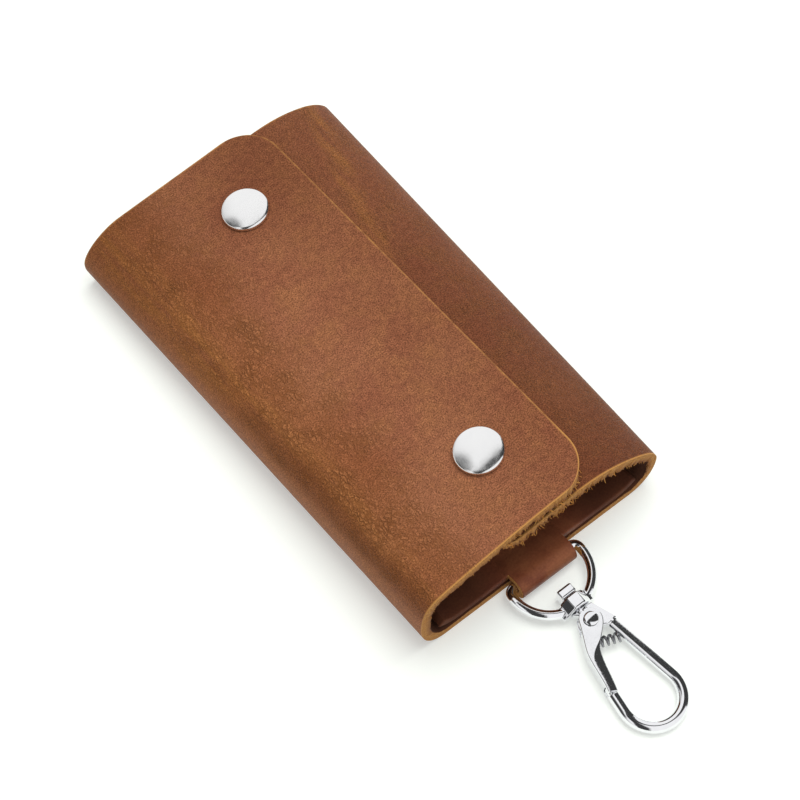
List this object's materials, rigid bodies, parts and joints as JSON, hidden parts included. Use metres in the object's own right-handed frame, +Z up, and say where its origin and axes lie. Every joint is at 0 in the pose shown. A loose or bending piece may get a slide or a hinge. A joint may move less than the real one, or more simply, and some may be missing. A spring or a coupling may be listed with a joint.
{
  "type": "key case",
  "caption": "Folded leather key case closed by snaps, with a row of swivelling key hooks inside and a swivel snap clip on a tab at its mouth.",
  "frame": {"origin": "middle of the outer face of the back, halfway along the case and halfway across it", "axes": "+X along the case towards the mouth with the clip, +Y across it towards the under flap's fold, +Z up through the flaps"},
  "size_m": [0.1591, 0.0682, 0.0272],
  "materials": {
    "case_leather": "waxy pull-up cowhide, low sheen",
    "panel_leather": "smooth dark red-brown cowhide",
    "polished_nickel": "polished nickel plate",
    "snap_nickel": "nickel-plated stamping",
    "snap_brass": "bare brass",
    "spring_steel": "bright spring wire",
    "key_row_steel": "nickel-plated steel"
  },
  "bodies": {
    "case": {"back_panel": "case_leather", "inner_panel": "panel_leather", "key_rack": "key_row_steel", "rack_rivet_left": "polished_nickel", "rack_rivet_right": "polished_nickel"},
    "front_flap_body": {"front_flap": "case_leather", "snap_cap_near": "polished_nickel", "snap_cap_far": "polished_nickel", "snap_socket_near": "snap_nickel", "snap_socket_far": "snap_nickel"},
    "under_flap_body": {"under_flap": "case_leather", "snap_stud_near": "snap_nickel", "snap_stud_far": "snap_nickel", "snap_eyelet_near": "snap_brass", "snap_eyelet_far": "snap_brass"},
    "ring": {"swivel_ring": "polished_nickel"},
    "clip": {"clip_hook": "polished_nickel", "gate_rivet": "polished_nickel", "gate_spring": "spring_steel"},
    "gate": {"clip_gate": "polished_nickel"},
    "key_hook_1": {"hook_block_1": "key_row_steel", "hook_wire_1": "key_row_steel"},
    "key_hook_2": {"hook_block_2": "key_row_steel", "hook_wire_2": "key_row_steel"},
    "key_hook_3": {"hook_block_3": "key_row_steel", "hook_wire_3": "key_row_steel"},
    "key_hook_4": {"hook_block_4": "key_row_steel", "hook_wire_4": "key_row_steel"},
    "key_hook_5": {"hook_block_5": "key_row_steel", "hook_wire_5": "key_row_steel"},
    "key_hook_6": {"hook_block_6": "key_row_steel", "hook_wire_6": "key_row_steel"}
  },
  "joints": [
    {"name": "front_flap_fold", "type": "hinge", "parent": "case", "child": "front_flap_body", "pos_m": [-0.0575, -0.0341, 0.0068], "axis": [0.9992, 0.0235, 0.0321], "range_deg": [0, 165]},
    {"name": "under_flap_fold", "type": "hinge", "parent": "case", "child": "under_flap_body", "pos_m": [-0.0575, 0.0341, 0.006], "axis": [-0.9995, 0.0235, -0.0217], "range_deg": [0, 69.3]},
    {"name": "ring_swing", "type": "hinge", "parent": "case", "child": "ring", "pos_m": [0.0595, -0.0013, 0.003], "axis": [0, 1, 0], "range_deg": [-80, 85]},
    {"name": "clip_swivel", "type": "hinge", "parent": "ring", "child": "clip", "pos_m": [0.07039, -0.0013, 0.00255], "axis": [0.9991, 0, -0.0415], "continuous": true},
    {"name": "gate_press", "type": "hinge", "parent": "clip", "child": "gate", "pos_m": [0.07456, -0.0013, 0.00237], "axis": [0.0415, 0, 0.9991], "range_deg": [0, 22], "stiffness_Nm_per_rad": 0.02, "springref_deg": -22.92, "deforming": ["gate_spring"]},
    {"name": "key_hook_1_swivel", "type": "hinge", "parent": "case", "child": "key_hook_1", "pos_m": [0.039, -0.019, 0.0085], "axis": [1, 0, 0], "continuous": true},
    {"name": "key_hook_2_swivel", "type": "hinge", "parent": "case", "child": "key_hook_2", "pos_m": [0.039, -0.0114, 0.0085], "axis": [1, 0, 0], "continuous": true},
    {"name": "key_hook_3_swivel", "type": "hinge", "parent": "case", "child": "key_hook_3", "pos_m": [0.039, -0.0038, 0.0085], "axis": [1, 0, 0], "continuous": true},
    {"name": "key_hook_4_swivel", "type": "hinge", "parent": "case", "child": "key_hook_4", "pos_m": [0.039, 0.0038, 0.0085], "axis": [1, 0, 0], "continuous": true},
    {"name": "key_hook_5_swivel", "type": "hinge", "parent": "case", "child": "key_hook_5", "pos_m": [0.039, 0.0114, 0.0085], "axis": [1, 0, 0], "continuous": true},
    {"name": "key_hook_6_swivel", "type": "hinge", "parent": "case", "child": "key_hook_6", "pos_m": [0.039, 0.019, 0.0085], "axis": [1, 0, 0], "continuous": true}
  ],
  "couplings": [
    {"joint": "under_flap_fold", "follows": "front_flap_fold", "ratio": 0.42}
  ]
}
